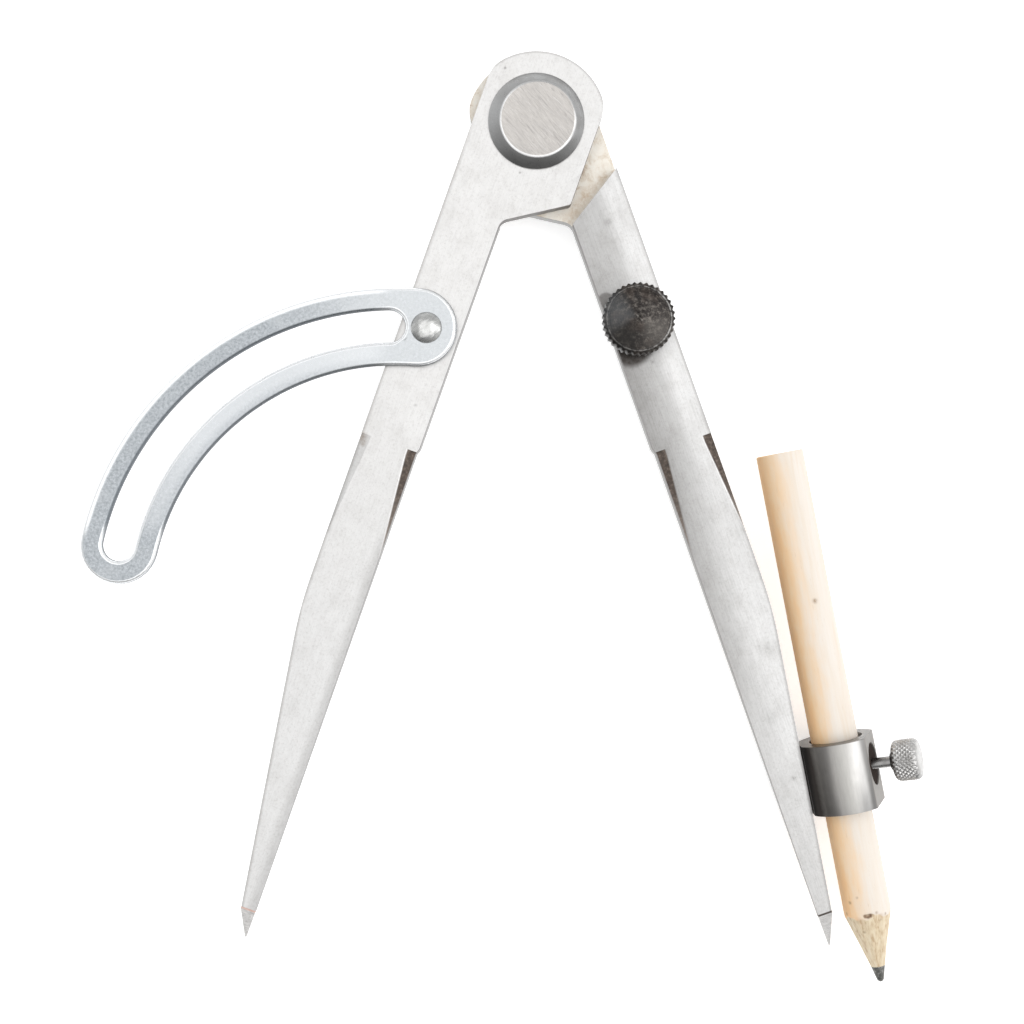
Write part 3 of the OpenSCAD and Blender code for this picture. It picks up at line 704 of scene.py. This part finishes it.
needle_steel = leg_steel("needle_leg_steel", True, 0.62, 0.63, 0.35)
smudges_and_shadows(needle_steel, [(56.6, 9.2, FACE_MM, 1.3, 0.9), (57.4, 8.9, 7.0, 0.9, 0.8)], (0.3, 0.25, 0.21))
smudges_and_shadows(needle_steel, [(-6.3, 7.5, FACE_MM, 0.35, 0.9), (8.6, -0.3, FACE_MM, 0.3, 0.9),
                       (49.0, 3.0, FACE_MM, 0.4, 0.4)])
pencil_steel = leg_steel("pencil_leg_steel", False, 0.6, 0.46, 0.5)
smudges_and_shadows(pencil_steel, [(18.9, 5.4, FACE_MM, 0.9, 0.5), (91.3, 6.6, 6.2, 2.2, 0.25),
                       (102.0, 3.3, 5.9, 2.0, 0.2), (42.2, 4.6, FACE_MM, 0.6, 0.5),
                       (112.5, 3.6, 5.6, 0.6, 0.6)])
# painted shadow: the lock knob's cast shadow on the leg, at its lower left and upper left
smudges_and_shadows(pencil_steel, [(38.4, 2.2, FACE_MM, 4.2, 0.95), (30.6, 0.9, FACE_MM, 1.5, 0.6)],
        (0.05, 0.043, 0.038), 0.3, 0.15)
smudges_and_shadows(pencil_steel, [(15.7, 0.6, MID_MM, 1.7, 0.5), (14.9, 1.8, MID_MM, 1.7, 0.45),
                       (14.1, 3.0, MID_MM, 1.7, 0.5), (13.3, 4.1, MID_MM, 1.8, 0.6),
                       (12.5, 5.4, MID_MM, 1.6, 0.4), (11.4, 7.2, MID_MM, 1.4, 0.55)],
        (0.5, 0.35, 0.21), 1.0, 0.85)
dress("needle_leg", needle_steel.mat)
dress("pencil_leg", pencil_steel.mat)
soften("needle_leg", 0.14 * MM, dissolve=0, clamp=True)
soften("pencil_leg", 0.14 * MM, dissolve=0, clamp=True)
dress("needle_point", point_steel("needle_point_steel", True, 0.55))
dress("pencil_leg_point", point_steel("pencil_point_steel", False, 0.5))
dress("needle_point_braze", braze("copper_braze", True, (0.6, 0.45, 0.4), (0.5, 0.33, 0.28)))
dress("pencil_leg_point_braze", braze("dark_braze", False, (0.05, 0.045, 0.04), (0.1, 0.08, 0.07)))
dress("pivot_rear_washer", washer_steel("washer_steel"))
soften("pivot_rear_washer", 0.1 * MM)
dress("lock_arc", zinc("zinc_plate"))
soften("lock_arc", 0.7 * MM, 6)
dress("arc_rivet", dome_steel("dome_steel"))
soften("arc_rivet", 0.08 * MM)
dress("clamp_ring_braze", braze("ring_braze", False, (0.05, 0.042, 0.036), (0.025, 0.02, 0.018)))
dress("clamp_ring", ring_steel("ring_steel"))
soften("clamp_ring", 0.2 * MM, 3, clamp=True)

# ---------------------------------------------------------------- pieces made here


def pivot_rivet():
    """The rivet's turned head, its flat faced a little off centre, and its shank."""
    low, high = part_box("pivot_rivet")
    face, top, outer = FACE_Z / MM, high.z / MM, (high.x - low.x) / 2 / MM
    off_centre = Vector((*FLAT_OFFSET, 0)) * MM
    rows = [(low.z / MM, 2.8, 0), (low.z / MM + 0.2, 3, 0), (face, 3, 0), (face, outer - 0.06, 0),
            (face + 0.06, outer, 0), (face + 0.3, outer, 0), (face + 0.38, outer - 0.06, 0.05),
            (top - 0.2, PIVOT_FLAT_R + 0.25, 0.95), (top - 0.07, PIVOT_FLAT_R + 0.06, 1),
            (top, PIVOT_FLAT_R - 0.15, 1), (top, PIVOT_FLAT_R - 0.3, 1), (top - 0.03, PIVOT_FLAT_R - 0.45, 1),
            (top - 0.03, 2.5, 1), (top - 0.03, 0.02, 1)]
    rings = []
    for z, radius, lean in rows:
        rings += turned(off_centre * lean, UP, RIGHT, [(z, radius, 0)], 128)
    return skin("pivot_rivet_head", rings)


def thread(pitch, steepness):
    """The crest of a screw thread, flattened at its top where the steepness is above 1."""
    return lambda along, a: min(1.0, steepness * wave(along / pitch - a / (2 * math.pi)))


def lock_knob():
    """Round teeth, a bright bead inside them, and a shallow cone up to a lathe centre."""
    low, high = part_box("lock_knob")
    foot = Vector((KNOB_AXIS_AT.x, KNOB_AXIS_AT.y, low.z))
    top, tip = (high.z - low.z) / MM, (high.x - low.x) / 2 / MM
    under, rim = KNOB_HUB_H, top - KNOB_CONE_H
    bore = [(KNOB_BORE_H, 0.02, 0), (KNOB_BORE_H, LOCK_BORE_R, 0), (0.3, LOCK_BORE_R, 0),
            (0, LOCK_BORE_R + 0.3, 0)]
    hub = [(0, KNOB_HUB_R - 0.15, 0), (0.15, KNOB_HUB_R, 0), (under, KNOB_HUB_R, 0)]
    edge = [(under, tip - 0.9, 0), (under + 0.05, tip - 0.5, 0.05), (under + 0.3, tip, KNOB_TOOTH),
            (rim - 0.35, tip, KNOB_TOOTH), (rim - 0.1, tip - 0.25, KNOB_TOOTH * 0.7)]
    bead = [(rim - 0.02, tip - 0.5, 0.02), (rim + 0.05, tip - 0.6, 0), (rim + 0.07, tip - 0.68, 0),
            (rim + 0.04, tip - 0.76, 0), (rim - 0.06, tip - 0.84, 0), (rim - 0.06, tip - 0.95, 0)]
    cone = [(rim + 0.06, tip - 1.15, 0), (rim + 0.28, 3.2, 0), (rim + 0.62, 1.6, 0), (top - 0.06, 0.6, 0)]
    lathe_centre = [(top, 0.42, 0), (top - 0.05, 0.3, 0), (top - 0.3, 0.02, 0)]
    rows = bore + hub + edge + bead + cone + lathe_centre

    def teeth(_, a):
        return 0.5 + 0.5 * math.cos(a * KNOB_TEETH)

    return skin("lock_knob_grip", turned(foot, UP, RIGHT, rows, KNOB_TEETH * 8, teeth))


def lock_screw():
    """A cut thread from end to end."""
    low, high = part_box("lock_screw")
    foot = Vector((KNOB_AXIS_AT.x, KNOB_AXIS_AT.y, low.z))
    length, radius = (high.z - low.z) / MM, (high.x - low.x) / 2 / MM
    rows = [(0, 0.02, 0), (0, radius - 0.45, 0), (0.3, radius - 0.2, 0.2)]
    rows += steps(0.4, length - 0.2, 0.07, radius, 0.4) + [(length, radius - 0.3, 0), (length, 0.02, 0)]
    return skin("lock_screw_thread", turned(foot, UP, RIGHT, rows, 32, thread(LOCK_PITCH, 1.25)))


def clamp_screw():
    """Threaded at the pencil end and plain up to its head."""
    start, end = (reach / MM for reach in span("clamp_screw", SCREW_AXIS, SCREW_FOOT))
    rows = [(start, 0.02, 0), (start, CLAMP_SCREW_R - 0.3, 0), (start + 0.25, CLAMP_SCREW_R - 0.1, 0.1)]
    rows += steps(start + 0.3, CLAMP_THREAD_END, 0.04, CLAMP_SCREW_R, 0.2)
    rows += [(CLAMP_THREAD_END + 0.15, CLAMP_SCREW_R - 0.1, 0), (end, CLAMP_SCREW_R - 0.06, 0),
             (end, 0.02, 0)]
    crest = thread(CLAMP_PITCH, 1.2)
    return skin("clamp_screw_thread", turned(SCREW_FOOT, SCREW_AXIS, SCREW_SIDE, rows, 32, crest))


def clamp_head():
    """A small round head with a crossed knurl running over its rounded ends."""
    start, end = (reach / MM for reach in span("clamp_screw_head", SCREW_AXIS, SCREW_FOOT))
    radius = span("clamp_screw_head", SCREW_SIDE, SCREW_FOOT)[1] / MM
    lean = KNURL_STARTS / (2 * math.pi * radius)

    def knurl(along, a):
        around = a * KNURL_STARTS / (2 * math.pi)
        return min(1.0, 1.35 * min(wave(around + along * lean), wave(around - along * lean)))

    neck = start + 0.4
    arc = [(0.9 * (1 - math.cos(t)), radius - 1.0 + math.sin(t), KNURL_DEPTH * math.sin(t))
           for t in (0.25, 0.5, 0.75, 1.0, 1.25, 1.5)]
    round_in = [(neck + inset, r, depth) for inset, r, depth in arc]
    round_out = [(end - inset, r, depth) for inset, r, depth in reversed(arc)]
    rows = [(end - 1.5, 0.02, 0), (end - 1.5, CLAMP_SCREW_R + 0.05, 0), (start, CLAMP_SCREW_R + 0.05, 0),
            (start, CLAMP_SCREW_R + 0.4, 0), (neck, CLAMP_SCREW_R + 0.75, 0), (neck, radius - 1.0, 0)]
    rows += round_in + steps(neck + 1.0, end - 1.0, 0.07, radius, KNURL_DEPTH) + round_out
    rows += [(end, radius - 1.1, 0), (end, 0.02, 0)]
    return skin("clamp_head_knurl", turned(SCREW_FOOT, SCREW_AXIS, SCREW_SIDE, rows, KNURL_STARTS * 8, knurl))


def pencil_wood():
    """The bare pencil, its end pared by hand so that the cut edge wanders, with one chip broken out."""
    top, tip = (reach / MM for reach in span("pencil_wood", PENCIL_AXIS))
    foot = PENCIL_ACROSS * (PENCIL_LIFT.y * MM) + UP * (PENCIL_LIFT.z * MM)
    inner, sides = GRAPHITE_R + 0.01, 128
    slope = (PENCIL_R - GRAPHITE_R) / PENCIL_CONE
    chip_along, chip_angle = tip - PENCIL_CONE - 0.5, math.radians(99)

    def paring(along, a):
        scallop = 0.5 + 0.25 * math.sin(5 * a + 1) + 0.15 * math.sin(9 * a + 2.2) + 0.1 * math.sin(16 * a)
        cone = GRAPHITE_R + (tip - along) * slope - 0.25 * scallop * min(1.0, (tip - along) / 3)
        chip = math.exp(-((along - chip_along) / 0.28) ** 2 - ((a - chip_angle) * PENCIL_R / 0.85) ** 2)
        return min(PENCIL_R, cone) - 0.4 * chip

    def shaved(along, a):
        return max(inner + 0.02, paring(along, a))

    stations = [top + 0.15] + [top + 1.0 + i * 4.0 for i in range(18)]
    stations += [step[0] for step in steps(tip - PENCIL_CONE - 2.5, tip - PENCIL_CONE + 1.5, 0.08, 0, 0)]
    stations += [step[0] for step in steps(tip - PENCIL_CONE + 1.8, tip, 0.35, 0, 0)]
    bore = [(tip, inner, 0), (top, inner, 0), (top, PENCIL_R - 0.15, 0)]
    outside = [(along, 1.0, 1.0) for along in stations]      # so the shaved radius is used as it is
    rings = turned(foot, PENCIL_AXIS, PENCIL_ACROSS, bore + outside, sides, shaved)
    return skin("pencil_wood_pared", rings, loop=True)


finish_mesh(pivot_rivet(), "needle_arm", pivot_steel("pivot_steel"), ("pivot_rivet",), 25)
finish_mesh(lock_knob(), "lock_grip",
            black_oxide("knob_oxide", KNOB_AXIS_AT, KNOB_BEAD_R), ("lock_knob",), 40)
finish_mesh(lock_screw(), "lock_shank",
            black_oxide("screw_oxide", KNOB_AXIS_AT), ("lock_screw",))
finish_mesh(clamp_screw(), "clamp_shank",
            turned_steel("clamp_screw_steel", SCREW_AXIS, SCREW_FOOT, 0.3), ("clamp_screw",))
finish_mesh(clamp_head(), "clamp_grip",
            turned_steel("clamp_head_steel", SCREW_AXIS, SCREW_FOOT, 0.52), ("clamp_screw_head",), 50)

wood = bare_wood("pencil_wood_grain")
smudges_and_shadows(wood, [(83.2, 0.5, 3.7, 0.7, 0.9), (131.6, -2.9, 2.4, 0.45, 0.9), (130.8, -1.8, 3.3, 0.35, 0.8),
               (133.6, 0.8, 3.7, 0.4, 0.9), (134.2, 2.2, 3.0, 0.4, 0.9), (135.0, 1.3, 3.3, 0.35, 0.9),
               (136.6, -1.6, 2.6, 0.45, 0.9), (133.6, -3.5, 1.2, 0.5, 0.7)], (0.3, 0.19, 0.11))
smudges_and_shadows(wood, [(133.9, -1.1, 3.5, 0.45, 0.9), (134.0, -0.7, 3.6, 0.5, 1.0), (133.9, -0.3, 3.6, 0.5, 1.0)],
        (0.16, 0.08, 0.045), 0.7, 0.15)
smudges_and_shadows(wood, [(134.6, -2.0, 2.9, 1.0, 0.5), (134.3, 1.4, 3.3, 0.8, 0.4)], (0.5, 0.3, 0.18), 1.0, 0.6)
finish_mesh(pencil_wood(), "pencil", wood.mat, ("pencil_wood",), 30)
dress("pencil_graphite", graphite("graphite_core"))
soften("pencil_graphite", 0.2 * MM, 3)

# ---------------------------------------------------------------- stage

FLOOR_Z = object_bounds()[0].z - 0.05 * MM
floor_mesh = bpy.data.meshes.new("studio_floor")
bm = bmesh.new()
bmesh.ops.create_grid(bm, x_segments=4, y_segments=4, size=2.5)
bm.to_mesh(floor_mesh)
bm.free()
floor = bpy.data.objects.new("studio_floor", floor_mesh)
bpy.context.scene.collection.objects.link(floor)
floor.location = (0, 0, FLOOR_Z)
floor_mesh.materials.append(floor_paint("pale_floor"))


def softbox(name, at, aim, size, radiance):
    data = bpy.data.lights.new(name, "AREA")
    data.shape = "RECTANGLE"
    data.size, data.size_y = size
    data.energy = radiance * math.pi * size[0] * size[1]
    obj = bpy.data.objects.new(name, data)
    bpy.context.scene.collection.objects.link(obj)
    obj.location = at
    obj.rotation_euler = (aim - Vector(at)).to_track_quat("-Z", "Y").to_euler()


def studio_world(dark_side, dark, light, overhead):
    """Plain walls all round, dark on one side, and an even ceiling."""
    world = bpy.data.worlds.new("studio")
    bpy.context.scene.world = world
    world.use_nodes = True
    tree = world.node_tree

    def smoothstep(value, low, high, out_low, out_high):
        n = tree.nodes.new("ShaderNodeMapRange")
        n.interpolation_type = "SMOOTHSTEP"
        tree.links.new(value, n.inputs["Value"])
        for key, number in (("From Min", low), ("From Max", high), ("To Min", out_low), ("To Max", out_high)):
            n.inputs[key].default_value = number
        return n.outputs["Result"]

    direction = tree.nodes.new("ShaderNodeTexCoord").outputs["Generated"]
    toward = tree.nodes.new("ShaderNodeVectorMath")
    toward.operation = "DOT_PRODUCT"
    tree.links.new(direction, toward.inputs[0])
    toward.inputs[1].default_value = dark_side
    parts = tree.nodes.new("ShaderNodeSeparateXYZ")
    tree.links.new(direction, parts.inputs[0])
    wall = smoothstep(toward.outputs["Value"], 0.1, 1.0, light, dark)
    rise = smoothstep(parts.outputs[2], 0.3, 0.85, 0.0, 1.0)
    blend = tree.nodes.new("ShaderNodeMix")
    tree.links.new(rise, blend.inputs[0])
    tree.links.new(wall, blend.inputs[2])
    blend.inputs[3].default_value = overhead
    background = tree.nodes["Background"]
    background.inputs["Color"].default_value = (0.985, 0.995, 1.0, 1.0)
    tree.links.new(blend.outputs[0], background.inputs["Strength"])


centre = Vector((0.0, -0.06, 0.0))              # about the middle of the compass
softbox("top_softbox", (0.0, -0.06, 1.1), centre, (1.9, 1.9), 1.0)
softbox("right_softbox", (0.95, 0.0, 0.95), centre, (0.8, 1.2), 1.4)
studio_world(Vector((-0.35, -0.94, 0)), 0.22, 0.86, 0.5)

CAMERA_X, CAMERA_Y = -0.00386, -0.06215
CAMERA_RISE = 0.262                             # above the legs' middle plane, looking straight down
LENS_MM, SENSOR_MM = 57.3, 36.0
camera = bpy.data.objects.new("camera", bpy.data.cameras.new("camera"))
bpy.context.scene.collection.objects.link(camera)
camera.location = (CAMERA_X, CAMERA_Y, MID_Z + CAMERA_RISE)
camera.rotation_euler = (0, 0, 0)
camera.data.lens = LENS_MM
camera.data.sensor_width = SENSOR_MM
camera.data.clip_start = 0.01
camera.data.dof.use_dof = False
bpy.context.scene.camera = camera
bpy.context.scene.view_settings.view_transform = "Standard"
bpy.context.scene.view_settings.look = "None"
